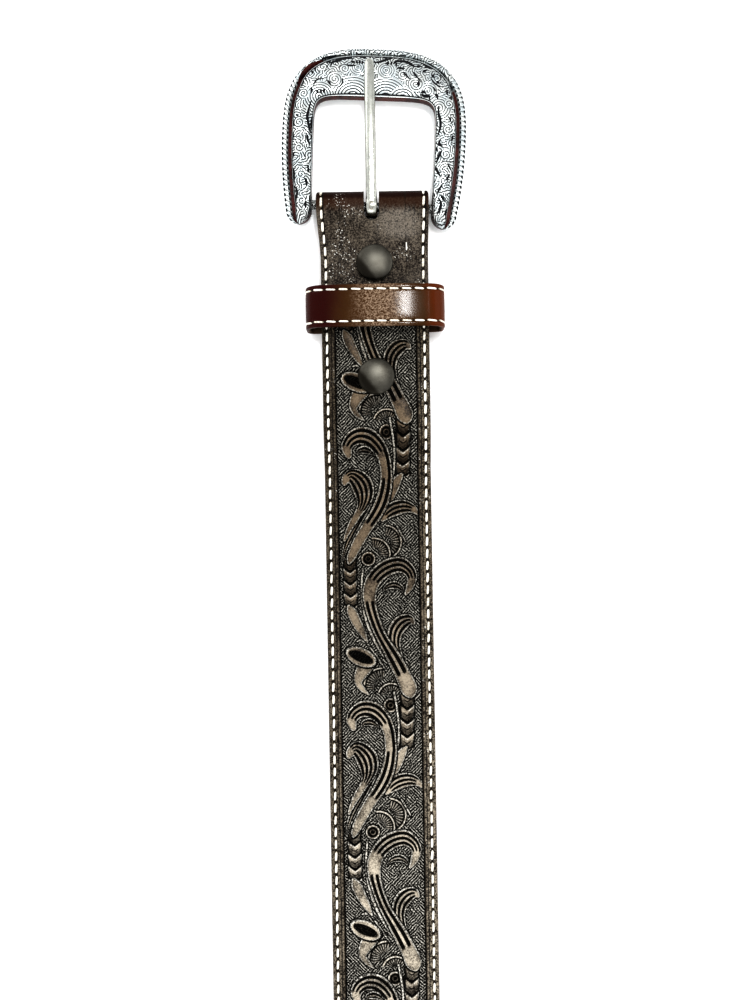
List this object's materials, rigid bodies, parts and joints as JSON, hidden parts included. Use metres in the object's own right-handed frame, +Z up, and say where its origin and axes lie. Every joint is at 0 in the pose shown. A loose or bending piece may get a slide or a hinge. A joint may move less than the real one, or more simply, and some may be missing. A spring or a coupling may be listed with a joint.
{
  "type": "western tooled belt",
  "caption": "Tooled and stitched leather belt end with a horseshoe buckle on a folded strap, a prong, a keeper loop and snaps.",
  "frame": {"origin": "on the strap's flat underside, on its centre line, 190 mm behind the buckle's bar", "axes": "+Y along the strap to the buckle, +Z up out of the tooled face, +X to the right as the belt is seen from above"},
  "size_m": [0.0657, 0.3668, 0.0149],
  "materials": {
    "tooled_leather": "dark brown antiqued leather, matte black in the cuts and a soft sheen on the raised work",
    "gloss_leather": "polished dark red-brown leather",
    "gunmetal": "dark satin gunmetal",
    "engraved_silver": "polished silver plate with blackened engraving and dark red paint in the groove and on the inner wall",
    "satin_nickel": "satin nickel"
  },
  "bodies": {
    "belt": {"strap": "tooled_leather", "keeper": "gloss_leather", "snap_upper": "gunmetal", "snap_lower": "gunmetal"},
    "buckle": {"buckle_frame": "engraved_silver"},
    "tongue": {"prong": "satin_nickel"}
  },
  "joints": [
    {"name": "buckle_hinge", "type": "hinge", "parent": "belt", "child": "buckle", "pos_m": [-0.0007, 0.19, 0.0046], "axis": [0.9986, -0.0523, 0], "range_deg": [-60, 35]},
    {"name": "prong_hinge", "type": "hinge", "parent": "buckle", "child": "tongue", "pos_m": [-0.0007, 0.19, 0.0046], "axis": [0.9986, -0.0523, 0], "range_deg": [0, 65]}
  ]
}
